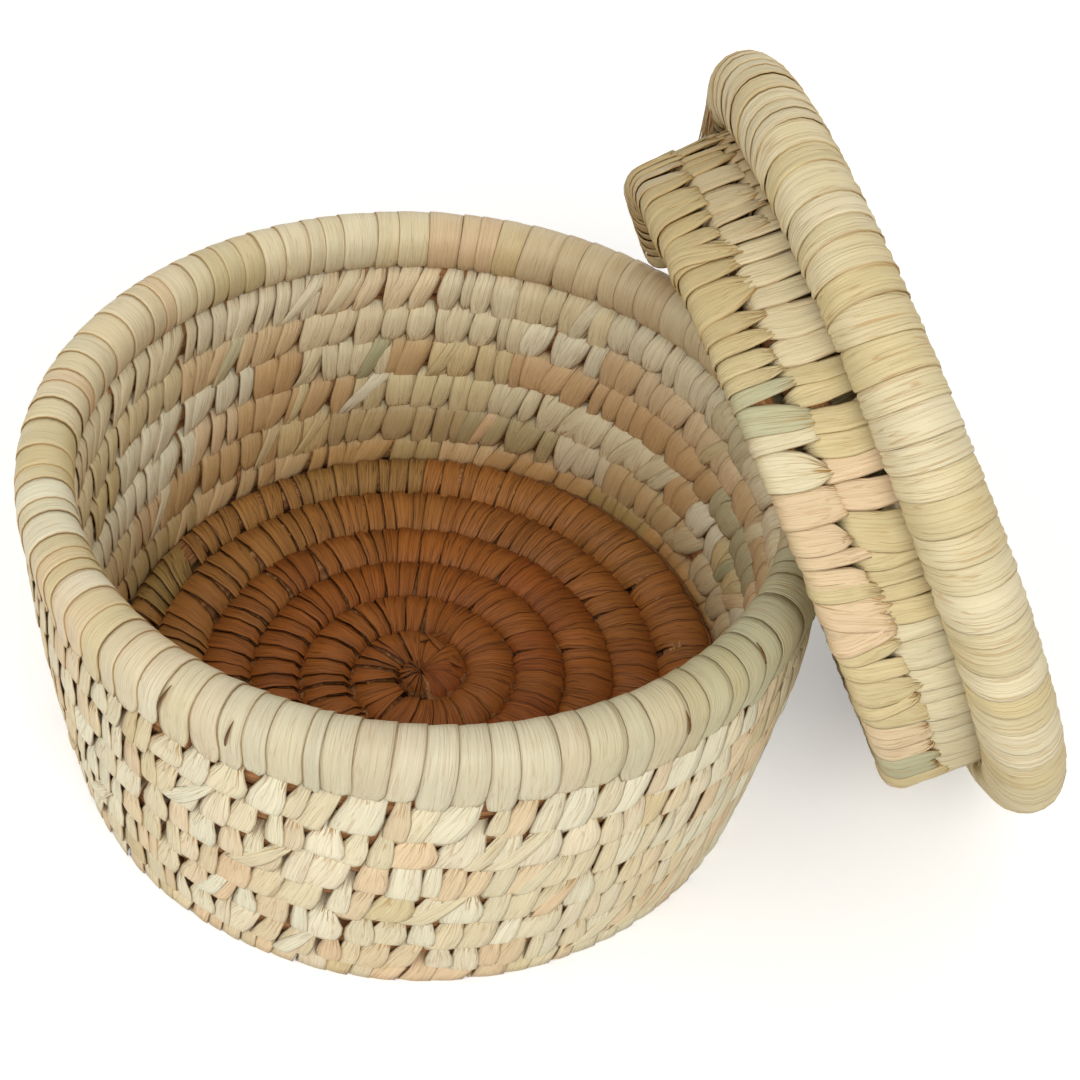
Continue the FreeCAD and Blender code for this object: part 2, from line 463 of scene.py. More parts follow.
# %% [markdown]
# Each strip starts as a flat grid, which brings its own UVs, and every vertex of the
# grid is then moved onto the coil. Faces could be built by hand, but moving a grid
# is simpler, and its UVs stay true to the leaf: U runs along the strip and V across
# it. Each strip adds its own whole number to U, so no two show the same piece of
# noise. The colour is stored on the vertices, because neighbours come from different
# leaves. All strips of a coil share one mesh, and Solidify gives it a leaf's
# thickness.

# %% Gather strips in one mesh
leaf_thickness = 0.35 * mm
ground = 0.3 * mm
same_place = 1e-6


def made_piece(name, mesh, material, body):
    """One object from a bmesh, smooth, at the origin, riding on its body."""
    data = bpy.data.meshes.new(name)
    mesh.to_mesh(data)
    mesh.free()
    data.shade_smooth()
    data.materials.append(material)
    made = bpy.data.objects.new(name, data)
    bpy.context.scene.collection.objects.link(made)
    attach(made, body)
    return made


class Wraps:
    """Strips of leaf, gathered in one mesh."""

    def __init__(self, name, seed):
        self.name = name
        self.dice = random.Random(seed)
        self.mesh = bmesh.new()
        self.uv = self.mesh.loops.layers.uv.new("strip")
        self.tint = self.mesh.verts.layers.float_color.new("leaf")
        self.count = 0

    def lay(self, steps, columns, place):
        """Add a grid. place turns a share along it and -1 to 1 across it into a spot."""
        grid = bmesh.ops.create_grid(self.mesh, x_segments=steps, y_segments=columns,
                                     size=0.5, calc_uvs=True)
        for vert in grid["verts"]:
            share = round((vert.co.x + 0.5) * steps) / steps
            v = 2 * vert.co.y
            spot, colour = place(share, v)
            for loop in vert.link_loops:
                loop[self.uv].uv = (self.count + share, (v + 1) / 2)
            vert[self.tint] = colour
            vert.co = spot
        self.count += 1

    def finish(self, node, body, material):
        """One object with a real thickness, in place of its solid."""
        bmesh.ops.remove_doubles(self.mesh, verts=self.mesh.verts, dist=same_place)
        made = made_piece(self.name, self.mesh, material, body)
        thick = made.modifiers.new("leaf", "SOLIDIFY")
        thick.thickness = leaf_thickness
        thick.offset = -1
        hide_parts(node)
        print(self.name, "strips", self.count, "faces", len(made.data.polygons))


print("a strip is", leaf_thickness / mm, "mm thick")

# %% [markdown]
# Each coil gets its own style of wrap, a dictionary: the two sides of its loop, the
# way its tail aims, the tail's length and how much that varies, how firmly it is
# drawn in, how far one edge laps over the next wrap, and how it folds where it
# narrows. On a flat coil the loop lies on its side, and near the eye it is cut short.
# Copies of one wrap would look like a machine's work, so every wrap draws its own
# numbers.

# %% Lay one wrap
knob_heart = 0.8 * mm
least_foot = 0.2
whole_width = 1.08
gather_width = 1.05


def own_loop(style, line, turn, dice):
    """The loop of one wrap, with a tail of its own length."""
    middle, out, rise, wide, high = line(turn)
    tail = style["tail"](turn) * dice.uniform(*style["tails"])
    head, foot, side = high, high, wide
    if style["flat"]:
        room = (middle - style["centre"]).length - knob_heart
        head, foot, side = wide, min(wide, max(room, least_foot * wide)), high
    return loop_points(style["front"], style["behind"], style["aim"](turn), side, head, foot,
                       tail)


def lay_strip(wraps, line, turn, reach, style, slant, tints):
    """One wrap: reach is half its width in turns, tints its front and back colour."""
    dice = wraps.dice
    around = own_loop(style, line, turn, dice)
    steps = len(around) - 1
    plump = dice.uniform(0.7, 1.2)
    firm = dice.uniform(*style["firm"])
    lift = style["lift"] * dice.uniform(0.6, 1.3)
    folds = style["folds"] * dice.uniform(0.7, 1.3)
    swing = dice.uniform(0, math.tau)
    pleat = style["pleat"] * dice.uniform(0.5, 1.4)
    pinch = dice.uniform(-0.15, 0.15)
    slip = dice.uniform(-0.12, 0.12)

    def place(share, v):
        (x, z), (nx, nz), along, width, bulge, face = around[round(share * steps)]
        width = whole_width - (whole_width - width) * firm
        gather = max(0.0, gather_width - width)
        across = width * v + pinch * gather * 2 - slant * face * (along + 1) + slip * along
        middle, out, rise, wide, high = line(turn + reach * across)
        off = plump * bulge * (1 - abs(v) ** 2.2) - plump * bulge * 0.6 + lift * v
        wave = folds * math.pi * (v + 0.12 * math.sin(2 * along + swing)) + swing
        off += (pleat + style["ridge"] * gather) * math.cos(wave)
        spot = middle + out * (x + nx * off) + rise * (z + nz * off)
        spot.z = max(spot.z, ground)
        shown = 0.5 + 0.5 * face * min(1.0, (along + 1) * 2)
        # The colour's alpha holds how far the strip is drawn in; the material uses it for wrinkles
        # and painted shade.
        return spot, (*blended(tints[1], tints[0], shown), min(1.0, gather))

    wraps.lay(steps, style["columns"], place)


print("near the eye a wrap keeps", round(100 * least_foot), "% of its foot at least")

# %% [markdown]
# A strip of leaf makes a few wraps before it runs out, so colour and slant come in
# short runs. Here and there a weaver crosses a strip over its neighbours to hold
# them. It is the same wrap, laid on the same coil a leaf further out.

# %% Wrap a whole coil
crossing_height = 1.3 * leaf_thickness


def always(value):
    """A value that is the same at every turn."""
    return lambda turn: value


def wrap_coil(wraps, line, first, last, spacing, style, colours, girth, slant, run=(2, 7)):
    """Wrap a coil from one turn to another; girth gives the length of a turn there."""
    dice = wraps.dice
    turn = first
    left = 0
    while turn < last:
        if left == 0:
            left = dice.randint(*run)
            tints = colours(dice, turn)
            lean = slant * dice.uniform(0.4, 1.5)
        front, behind = tints
        if style["mixed"]:
            front = blended(front, colours(dice, turn)[0], 0.7)
        step = spacing * dice.uniform(0.6, 1.0) * dice.uniform(0.8, 1.6) / girth(turn)
        lay_strip(wraps, line, turn + step / 2, step / 2, style, lean * dice.uniform(0.5, 1.5),
                  [shaded(dice, tint, 0.07) for tint in (front, behind)])
        turn += step
        left -= 1


def over(line):
    """The same coil, a leaf thicker, for a strip that crosses over its neighbours."""
    def thicker(turn):
        middle, out, rise, wide, high = line(turn)
        return middle, out, rise, wide + crossing_height, high + crossing_height
    return thicker


print("a crossing strip lies", round(crossing_height / mm, 2), "mm higher")

# %% [markdown]
# The leaf's material is built from a few expressions. Nodes can be added and linked
# one by one, but sums are hard to read that way. So a small class wraps a node's
# socket, and adding or multiplying two of them makes the Math node.

# %% Shader sums
class Value:
    """A number that varies over a surface: one socket in a material's nodes."""

    def __init__(self, tree, socket):
        self.tree = tree
        self.socket = socket

    def node(self, kind, settings=None, inputs=None, output=0):
        """Any node: its settings first, then the values or links of its sockets."""
        made = self.tree.nodes.new(kind)
        for name, value in (settings or {}).items():
            if name == "stops":
                while len(made.color_ramp.elements) < len(value):
                    made.color_ramp.elements.new(0.5)
                for element, (where, colour) in zip(made.color_ramp.elements, value):
                    element.position = where
                    element.color = (*colour, 1.0)
            else:
                setattr(made, name, value)
        for key, value in (inputs or {}).items():
            if isinstance(value, Value):
                self.tree.links.new(value.socket, made.inputs[key])
            else:
                made.inputs[key].default_value = value
        return Value(self.tree, made.outputs[output])

    def sum(self, operation, other, flip=False):
        pair = (other, self) if flip else (self, other)
        return self.node("ShaderNodeMath", {"operation": operation}, {0: pair[0], 1: pair[1]})

    def __add__(self, other):
        return self.sum("ADD", other)

    __radd__ = __add__

    def __sub__(self, other):
        return self.sum("SUBTRACT", other)

    def __rsub__(self, other):
        return self.sum("SUBTRACT", other, flip=True)

    def __mul__(self, other):
        return self.sum("MULTIPLY", other)

    __rmul__ = __mul__

    def __abs__(self):
        return self.node("ShaderNodeMath", {"operation": "ABSOLUTE"}, {0: self})

    def between(self, low, high):
        """0 at low and 1 at high, eased."""
        return self.node("ShaderNodeMapRange", {"interpolation_type": "SMOOTHSTEP"},
                         {0: self, 1: low, 2: high})

    def mixed(self, one, two):
        """A colour between two, by this value."""
        return self.node("ShaderNodeMix", {"data_type": "RGBA"}, {0: self, 6: one, 7: two}, 2)


def start_material(name):
    """A new material with its shader, and a value to build from."""
    material = bpy.data.materials.new(name)
    material.use_nodes = True
    tree = material.node_tree
    shader = tree.nodes["Principled BSDF"]
    return material, shader, Value(tree, None)


def strip_uv(start):
    """U and V of the strip, as two values."""
    uv = start.node("ShaderNodeUVMap", {"uv_map": "strip"})
    return [start.node("ShaderNodeSeparateXYZ", None, {0: uv}, axis) for axis in (0, 1)]


print("shader sums ready")

# %% [markdown]
# Dried palm leaf is cream and a little shiny, with fibres along it, soft folds, a few
# sharp creases, and a darker dry line at its cut edges; that line also carries painted
# shade between neighbouring wraps, and the creases are darkened with painted shade. A
# photograph would stretch round the bundle. Noise doesn't: it is squeezed across the
# strip and drawn out along it by scaling UV, and a crease is where the noise passes one
# half. Where a strip is drawn in, its vertices say so, and the material adds wrinkles
# and painted shade there.

# %% The leaf's material
def leaf_material(name, roughness, crease, pleats, grain, edge_line, edge_width, dark):
    """Palm leaf: fibres along the strip, creases and pleats, a dry edge line, and painted shade in
    the creases, at the tucks and between wraps.
    """
    material, shader, start = start_material(name)
    tree = material.node_tree
    u, v = strip_uv(start)
    tint = start.node("ShaderNodeAttribute", {"attribute_name": "leaf"}, None, 0)
    gather = start.node("ShaderNodeAttribute", {"attribute_name": "leaf"}, None, 3)

    def streaks(along, across, detail):
        at = start.node("ShaderNodeCombineXYZ", None, {0: u * along, 1: v * across})
        return start.node("ShaderNodeTexNoise", None,
                          {"Vector": at, "Scale": 1.0, "Detail": detail, "Roughness": 0.6})

    fibres = streaks(5.0, 34.0, 3.0)
    folds = streaks(2.3, 5.0, 1.0)
    patches = streaks(3.1, 1.3, 2.0)
    lines = streaks(1.7, 6.0, 2.0)
    edge = (abs(v - 0.5) * 2).between(1 - edge_width, 1 - edge_width * 0.2)
    wrinkle = abs(folds - 0.5).between(0.035, 0.004) * (crease * 0.35 + gather * 1.4)
    pleat = abs(lines - 0.5).between(0.05, 0.0) * pleats
    shade = 0.92 - 0.5 * grain + fibres * grain + patches * 0.16
    lit = start.node("ShaderNodeVectorMath", {"operation": "SCALE"}, {0: tint, 3: shade})
    # The edge line darkens towards the dark colour: partly the leaf's dry cut edge, partly painted
    # shade between neighbouring wraps.
    dry_edge_and_shade = (edge * edge_line).mixed(lit, (*dark, 1.0))
    # Painted shade: darker where the strip is drawn in and tucks under the turn before.
    shaded_tucks = (gather.between(0.35, 0.85) * 0.40).mixed(dry_edge_and_shade, (*dark, 1.0))
    # Painted shade: the colour is darkened in the wrinkles and pleats.
    done = (wrinkle + pleat * 0.6).between(0.0, 1.0).mixed(shaded_tucks, (*dark, 1.0))
    relief = folds * (0.9 * crease) + lines * (1.2 * pleats) + fibres * 0.12 \
        - edge * 0.2 - wrinkle * 0.5 - pleat * 0.5
    bump = start.node("ShaderNodeBump", None,
                      {"Height": relief, "Strength": 0.7, "Distance": 0.8 * mm})
    tree.links.new(done.socket, shader.inputs["Base Color"])
    tree.links.new(bump.socket, shader.inputs["Normal"])
    tree.links.new((roughness + patches * 0.12 - 0.06).socket, shader.inputs["Roughness"])
    shader.inputs["Specular IOR Level"].default_value = 0.35
    return material


smooth_leaf = leaf_material("smooth leaf", roughness=0.44, crease=0.7, pleats=0.28, grain=0.30,
                            edge_line=0.75, edge_width=0.06, dark=tan)
lid_leaf = leaf_material("creased leaf", roughness=0.48, crease=1.1, pleats=0.32, grain=0.14,
                         edge_line=0.42, edge_width=0.05, dark=tan)
wall_leaf = leaf_material("stitched leaf", roughness=0.58, crease=0.7, pleats=0.35, grain=0.22,
                          edge_line=0.50, edge_width=0.07, dark=tan)
floor_leaf = leaf_material("brown leaf", roughness=0.50, crease=1.0, pleats=0.55, grain=0.12,
                           edge_line=0.85, edge_width=0.09, dark=umber)
print("leaves:", [m.name for m in (smooth_leaf, lid_leaf, wall_leaf, floor_leaf)])

# %% [markdown]
# The bundle is a fistful of thin palm fibres. Each fibre could be a hair of its own,
# but only bits of the bundle show, so fine noise, drawn out along the coil, stands
# for the fibres and lifts them with bump.

# %% The bundle's material
def bundle_material(name):
    """The fibre bundle: rough, brown, streaked along the coil."""
    material, shader, start = start_material(name)
    tree = material.node_tree
    u, v = strip_uv(start)
    at = start.node("ShaderNodeCombineXYZ", None, {0: u * 30.0, 1: v * 26.0})
    hairs = start.node("ShaderNodeTexNoise", None,
                       {"Vector": at, "Scale": 1.0, "Detail": 4.0, "Roughness": 0.7})
    stops = [(0.30, linear(104, 62, 30)), (0.52, linear(166, 114, 66)),
             (0.72, linear(210, 168, 114))]
    colour = start.node("ShaderNodeValToRGB", {"stops": stops}, {0: hairs})
    bump = start.node("ShaderNodeBump", None,
                      {"Height": hairs, "Strength": 1.0, "Distance": 1.0 * mm})
    tree.links.new(colour.socket, shader.inputs["Base Color"])
    tree.links.new(bump.socket, shader.inputs["Normal"])
    shader.inputs["Roughness"].default_value = 0.85
    return material


fibre = bundle_material("palm fibre")
print("bundle:", fibre.name)

# %% [markdown]
# The bundle inside is what shows, brown, in the small gaps between the wraps. A
# bevelled curve would be round and even. A grid rolled round the coil's line can be
# rough and flattened, so that is what it is, with its seam merged and its two ends
# filled. It is a little thinner than the wraps, but fuller where coils lie side by
# side, so that no light comes through.

# %% Lay the bundles
bundle_sides = 12
steps_per_turn = 44
slim, full = 0.90, 1.14


def lay_bundle(name, line, first, last, share_wide, share_high, body):
    """A rough tube of fibre along a coil, with a share of the coil's width and height."""
    steps = int((last - first) * steps_per_turn)
    dice = random.Random(name)
    mesh = bmesh.new()
    uv = mesh.loops.layers.uv.new("strip")
    grid = bmesh.ops.create_grid(mesh, x_segments=steps, y_segments=bundle_sides, size=0.5,
                                 calc_uvs=True)
    rough = [[dice.uniform(0.92, 1.0) for j in range(bundle_sides)] for i in range(steps + 1)]
    for vert in grid["verts"]:
        i = round((vert.co.x + 0.5) * steps)
        j = round((vert.co.y + 0.5) * bundle_sides)
        middle, out, rise, wide, high = line(first + (last - first) * i / steps)
        angle = math.tau * j / bundle_sides
        size = rough[i][j % bundle_sides]
        for loop in vert.link_loops:
            loop[uv].uv = (i / steps_per_turn, j / bundle_sides)
        vert.co = middle + out * (math.cos(angle) * wide * share_wide * size) \
            + rise * (math.sin(angle) * high * share_high * size)
        vert.co.z = max(vert.co.z, ground)
    bmesh.ops.remove_doubles(mesh, verts=mesh.verts, dist=same_place)
    bmesh.ops.holes_fill(mesh, edges=mesh.edges, sides=0)
    bmesh.ops.recalc_face_normals(mesh, faces=mesh.faces)
    made = made_piece(name, mesh, fibre, body)
    print(name, "faces", len(made.data.polygons))


for bundle in (
        ("floor_bundle", floor_line, 0, floor_end, full, slim, "basket"),
        ("floor_heart", heart_line, 0, 1, full, slim, "basket"),
        ("floor_filler", filler_line, floor_turns - 1.5, floor_turns, slim, slim, "basket"),
        ("floor_seam", seam_line, floor_end - 1.1, floor_turns + 0.16, full, full, "basket"),
        ("wall_bundle", wall_line, -end_turns, wall_end, slim, full, "basket"),
        ("rim_bundle", rim_line, 0, 1, slim, slim, "basket"),
        ("lid_disc_bundle", disc_line, 0, disc_end, full, slim, "lid"),
        ("lid_disc_heart", disc_heart_line, 0, 1, full, slim, "lid"),
        ("lid_disc_seam", disc_seam_line, disc_end - 1.1, disc_turns + 0.06, full, slim, "lid"),
        ("lid_collar_bundle", collar_line, 0, collar_turns, slim, slim, "lid"),
        ("lid_rim_bundle", lid_rim_line, 0, 1, slim, slim, "lid")):
    lay_bundle(*bundle)

# %% [markdown]
# The floor is the darkest part: its leaf has browned, most of all in the middle.
# Painted shade keeps it browner to the right, and painted light pales the outer turns
# at the left. Its wraps are plump pads that aim at the turn before, and the tails of
# the outer turns are longer, because these turns climb. In the eye the wraps are so
# close that they meet in one point, like a knob, and a few cut ends stick out there.

# %% The floor's wraps
floor_pad = [(0.00, -1.00, 1.04, 0.3), (0.62, -0.86, 1.10, 0.4), (0.96, -0.40, 1.16, 0.5),
             (1.02, 0.15, 1.18, 0.6), (0.95, 0.64, 1.12, 0.5), (0.80, 0.96, 1.00, 0.4),
             (0.62, 1.40, 0.92, 0.2), (0.36, 1.90, 0.86, 0.0), (0.00, 1.60, 0.60, 0.0)]
floor_under = [(0.00, -1.00, 1.04, 0.3), (0.80, -0.70, 1.14, 0.4), (1.00, 0.10, 1.16, 0.5),
               (0.85, 0.90, 1.08, 0.3), (0.45, 1.60, 1.00, 0.1), (0.00, 1.60, 0.60, 0.0)]
floor_spacing = 8.6 * mm
heart_spacing = 3.4 * mm
heart_first, heart_last = 0.1, 1.05
spiral_first = 0.02
seam_back = 1.06


def floor_aim(turn):
    """From the middle of a turn to the middle of the turn before."""
    climb = floor_line(turn)[0].z - floor_line(max(turn - 1, 0))[0].z
    return math.atan2(-climb, -floor_pitch)


def floor_tail(turn):
    """The outer turns climb, which opens the gap that the tails have to cross."""
    return (3.6 + 2.6 * smooth((turn - 3.2) / 1.5)) * mm


def floor_colours(dice, turn):
    """Brown in the middle and greener further out; painted light pales the left, painted shade
    keeps the right brown.
    """
    # Painted light and shade: the outer turns pale and green towards the left, and stay brown to
    # the right.
    painted_light_side = 0.5 - 0.5 * math.cos(floor_start + math.tau * turn)
    outer = smooth((turn - 2.8) / 2.4) * (0.25 + 0.75 * painted_light_side)
    inner_pick = pick(dice, [(cinnamon, 6), (rust, 4)])
    outer_pick = pick(dice, [(honey, 4), (olive, 2), (cinnamon, 2)])
    return [blended(inner_pick, outer_pick, outer)] * 2


def spiral_girth(turn):
    return math.tau * (floor_pitch * (min(turn, floor_turns) + first_offset) + floor_half_wide)


def heart_girth(turn):
    return math.tau * 2 * heart_radius


floor_style = dict(front=floor_pad, behind=floor_under, aim=floor_aim, tail=floor_tail,
                   tails=(0.8, 1.3), columns=6, firm=(0.3, 1.5), lift=0.75 * mm,
                   pleat=0.30 * mm, ridge=0.90 * mm, folds=2.6, flat=True,
                   centre=floor_centre, mixed=False)
seam_style = dict(floor_style, tail=always(1.5 * mm))
print("floor aims at", round(math.degrees(floor_aim(2))), "degrees inside and",
      round(math.degrees(floor_aim(5))), "outside")

# %% Wrap the floor
def loose_end(wraps, start, way, bend, side, long, wide, colour):
    """A thin bit of leaf or fibre that sticks out and bends as it goes."""
    def place(share, v):
        spot = start + way * long * share + bend * long * share**2 \
            + side * wide * v * (0.5 - 0.4 * share) + bend.cross(side) * 0.1 * mm * v
        return spot, (*colour, 0.0)

    wraps.lay(6, 1, place)


floor_wraps = Wraps("floor_wraps", 11)
wrap_coil(floor_wraps, heart_line, heart_first, heart_last, heart_spacing, floor_style,
          floor_colours, heart_girth, 0.2)
wrap_coil(floor_wraps, floor_line, spiral_first, floor_end, floor_spacing, floor_style,
          floor_colours, spiral_girth, 0.40)
wrap_coil(floor_wraps, seam_line, floor_end - seam_back, floor_turns, floor_spacing,
          seam_style, floor_colours, spiral_girth, 0.3)
for turn, bow in ((0.30, 1), (0.36, -1), (0.47, 1)):
    middle, out, rise, wide, high = floor_line(turn)
    loose_end(floor_wraps, middle + rise * high + out * 2 * mm, out.cross(rise) * bow,
              rise * 0.35, out, 9 * mm, 4 * mm, cinnamon)
floor_wraps.finish("floor_coil", "basket", floor_leaf)

# %% [markdown]
# The wall looks different from its two sides. Outside, each wrap is a cream tongue
# that lies flat over the row below and narrows into the stitch. Inside it is a plump
# pad, and the pads come in runs of grey-green and orange, darker and browner near the
# floor with painted shade and paler near the mouth with painted light. One loop does
# both: its front is the tongue and its back is the pad. The foot row has nothing below
# it, so its tails are short. The wraps are laid in two pieces, to keep each mesh small.

# %% The wall's wraps
tongue = [(0.00, -1.00, 0.50, 0.1), (0.64, -0.86, 0.50, 0.1), (0.98, -0.40, 0.58, 0.2),
          (1.04, 0.10, 0.84, 0.3), (1.06, 0.60, 1.12, 0.3), (1.08, 1.10, 1.18, 0.3),
          (1.07, 1.55, 1.06, 0.3), (0.92, 1.95, 0.64, 0.2), (0.00, 1.50, 0.20, 0.0)]
pad = [(0.00, -1.00, 0.56, 0.1), (0.68, -0.84, 0.86, 0.3), (1.00, -0.36, 1.08, 0.5),
       (1.05, 0.15, 1.16, 0.6), (1.02, 0.66, 1.12, 0.5), (0.96, 1.02, 0.96, 0.4),
       (0.90, 1.42, 0.70, 0.3), (0.72, 1.85, 0.34, 0.1), (0.00, 1.50, 0.20, 0.0)]
wall_spacing = 9.0 * mm
wall_slant = 0.42
foot_end = 0.95
low_end = 3.0
coloured_end = 5.3
wall_crossings = 26


def wall_aim(turn):
    """From a row to the row below it."""
    level = min(max(turn, 1), wall_rows - 1)
    return math.atan2(-wall_pitch, row_radius(level - 1) - row_radius(level))


def wall_colours(dice, turn):
    """Cream outside; inside, runs of grey-green and orange, with painted light near the mouth and
    painted shade near the floor.
    """
    outside = pick(dice, [(cream, 5), (pale, 5), (peach, 4), (straw, 1)])
    coloured = pick(dice, [(sage, 4), (orange, 3), (peach, 3), (straw, 3)])
    clean = pick(dice, [(cream, 5), (pale, 4), (straw, 2), (peach, 1)])
    painted_floor_shade = pick(dice, [(honey, 4), (olive, 2), (orange, 2)])
    inside = coloured if dice.random() < (0.45 if turn < coloured_end else 0.12) else clean
    # Painted light: the top rows inside are paled towards the mouth.
    inside = blended(inside, painted_light_cream, 0.5 * smooth((turn - 4.2) / 1.6))
    # Painted shade: the low rows inside are darker and browner towards the floor.
    return [outside, blended(painted_floor_shade, inside, smooth((turn - 0.4) / 2.7))]


def wall_girth(turn):
    return math.tau * row_radius(turn)


wall_style = dict(front=tongue, behind=pad, aim=wall_aim, tail=always(7.0 * mm),
                  tails=(0.7, 1.35), columns=4, firm=(0.3, 1.15), lift=0.36 * mm,
                  pleat=0.06 * mm, ridge=0.35 * mm, folds=1.4, flat=False, centre=None,
                  mixed=True)
foot_style = dict(wall_style, tail=always(0.7 * mm), firm=(0.0, 0.3))
example = own_loop(wall_style, wall_line, 2, random.Random(0))
print("points round a wall wrap:", len(example))

# %% Wrap the wall
wall_parts = [("wall_wraps_low", 23, [(-end_turns, foot_end, foot_style),
                                      (foot_end, low_end, wall_style)]),
              ("wall_wraps_high", 29, [(low_end, wall_end, wall_style)])]
for name, seed, stretches in wall_parts:
    wall_wraps = Wraps(name, seed)
    for first, last, style in stretches:
        wrap_coil(wall_wraps, wall_line, first, last, wall_spacing, style, wall_colours,
                  wall_girth, wall_slant)
    dice = wall_wraps.dice
    for i in range(wall_crossings):
        turn = dice.uniform(max(first, 1.0), min(last, wall_rows - 0.6))
        reach = dice.uniform(2.4, 4.2) * mm / wall_girth(turn)
        lay_strip(wall_wraps, over(wall_line), turn, reach, wall_style, dice.uniform(1.1, 2.0),
                  wall_colours(dice, turn))
    wall_wraps.finish("wall_coil", "basket", wall_leaf)

# %% [markdown]
# The rim's wraps are broad smooth straps, pulled down over the top row. Outside they
# end in rounded tongues of uneven length, inside they tuck under. The leaf is greener
# at the right and paler in front, and beside the lid it is warmed with painted light
# bounced off the lid. In a few places a strap has split and brown fibre shows, which a
# thin lens of fibre on top of the strap stands for: a real cut would need many more
# faces.

# %% The rim's wraps
strap = [(0.00, -1.00, 1.10, 0.10), (0.62, -0.79, 1.10, 0.10), (0.95, -0.32, 1.12, 0.12),
         (1.00, 0.20, 1.14, 0.15), (0.97, 0.64, 1.16, 0.2), (0.92, 1.00, 1.12, 0.2),
         (0.89, 1.45, 0.98, 0.2), (0.80, 1.85, 0.58, 0.1), (0.00, 1.60, 0.20, 0.0)]
strap_end = [(0.00, -1.00, 1.10, 0.10), (0.62, -0.79, 1.10, 0.10), (0.95, -0.32, 1.12, 0.15),
             (1.00, 0.20, 1.12, 0.2), (0.93, 0.60, 1.08, 0.25), (0.78, 0.90, 0.96, 0.2),
             (0.58, 1.15, 0.72, 0.1), (0.35, 1.50, 0.42, 0.0), (0.00, 1.60, 0.20, 0.0)]
rim_spacing = 10.0 * mm
split_height = 0.75 * mm
down = math.radians(-90)


def rim_colours(dice, turn):
    """Cream and straw, greener or paler round two places of the rim, and warmer beside the lid
    with painted light bounced off it.
    """
    green = smooth(1 - abs(turn - 0.85) * 8)
    front = smooth(1 - abs(turn - 0.69) * 5)
    # Painted light: warm light bounced off the lid, on the rim beside it.
    painted_lid_bounce = smooth(1 - abs(turn - 0.11) * 8)
    picked = pick(dice, [(cream, 6), (pale, 1), (straw, 4), (peach, 2)])
    picked = blended(blended(picked, frosted, front * 0.55), orange, painted_lid_bounce * 0.4)
    return [blended(picked, sage, green * 0.7)] * 2


def rim_girth(turn):
    return math.tau * rim_radius


def split(wraps, line, girth, turn, angle, long, wide, spread):
    """A lens of bare fibre lying on a wrap, where the leaf has split."""
    def place(share, v):
        narrow = math.sin(math.pi * share) * wide / 2
        aside = v * narrow + spread * (share - 0.5)
        middle, out, rise, half_wide, half_high = line(turn + aside / girth)
        round_at = angle - long * share / half_wide
        normal = out * math.cos(round_at) + rise * math.sin(round_at)
        spot = middle + normal * (half_wide + split_height)
        return spot, (*blended(umber, honey, 0.25 + 0.25 * v), 0.0)

    wraps.lay(8, 1, place)


rim_style = dict(front=finer(strap), behind=finer(strap_end), aim=always(down),
                 tail=always(5.4 * mm), tails=(0.45, 1.7), columns=5, firm=(0.5, 1.8),
                 lift=0.28 * mm, pleat=0.05 * mm, ridge=0.35 * mm, folds=1.6, flat=False,
                 centre=None, mixed=True)
print("points on a strap's side:", len(rim_style["front"]))

# %% Wrap the rim
rim_wraps = Wraps("rim_wraps", 37)
wrap_coil(rim_wraps, rim_line, 0, 1, rim_spacing, rim_style, rim_colours, rim_girth, 0.15,
          (1, 3))
for turn, angle, long, wide, spread in ((0.615, 50, 11, 1.0, -3), (0.642, 42, 12, 0.9, -2),
                                         (0.808, 42, 10, 0.9, 1), (0.849, 70, 7, 0.7, -1)):
    split(rim_wraps, rim_line, rim_girth(turn), turn, math.radians(angle), long * mm, wide * mm,
          spread * mm)
rim_wraps.finish("rim_coil", "basket", smooth_leaf)

# %% [markdown]
# The disc is wrapped like the floor, with clean leaf. It stays flat, so its tails all
# aim straight inward, and its loops turn about the lid's middle.

# %% Wrap the lid's disc
inward = math.radians(180)


def lid_colours(dice, turn):
    return [pick(dice, [(cream, 7), (straw, 5)])] * 2


disc_style = dict(floor_style, aim=always(inward), centre=lid_middle, pleat=0.14 * mm)
disc_seam_style = dict(disc_style, tail=always(1.5 * mm))
disc_wraps = Wraps("lid_disc_wraps", 41)
wrap_coil(disc_wraps, disc_heart_line, heart_first, heart_last, heart_spacing, disc_style,
          lid_colours, heart_girth, 0.2)
wrap_coil(disc_wraps, disc_line, spiral_first, disc_end, floor_spacing, disc_style,
          lid_colours, spiral_girth, 0.40)
wrap_coil(disc_wraps, disc_seam_line, disc_end - seam_back, disc_turns, floor_spacing,
          disc_seam_style, lid_colours, spiral_girth, 0.3)
disc_wraps.finish("lid_disc_coil", "lid", wall_leaf)

# %% [markdown]
# The collar's tails aim up at the disc. Its edge row ends in points that reach over
# the row above, and that row ends in bands, which grow longer along the screw to
# cross the wedge under the disc. The leaf is darkened at the collar's top with
# painted shade.

# %% The collar's wraps
pointed = [(0.00, -1.00, 1.12, 0.10), (0.60, -0.86, 1.14, 0.20), (0.96, -0.38, 1.16, 0.3),
           (1.03, 0.15, 1.14, 0.3), (1.05, 0.66, 1.06, 0.3), (1.06, 1.05, 0.94, 0.3),
           (1.04, 1.45, 0.72, 0.2), (0.92, 1.90, 0.34, 0.1), (0.00, 1.60, 0.15, 0.0)]
band = [(0.00, -1.00, 0.60, 0.1), (0.64, -0.84, 0.76, 0.2), (0.98, -0.38, 0.98, 0.3),
        (1.04, 0.15, 1.12, 0.3), (1.05, 0.66, 1.14, 0.3), (1.04, 1.00, 1.08, 0.2),
        (1.04, 1.50, 0.94, 0.2), (1.02, 1.95, 0.76, 0.1), (0.00, 1.90, 0.30, 0.0)]
collar_spacing = 8.2 * mm
collar_crossings = 22
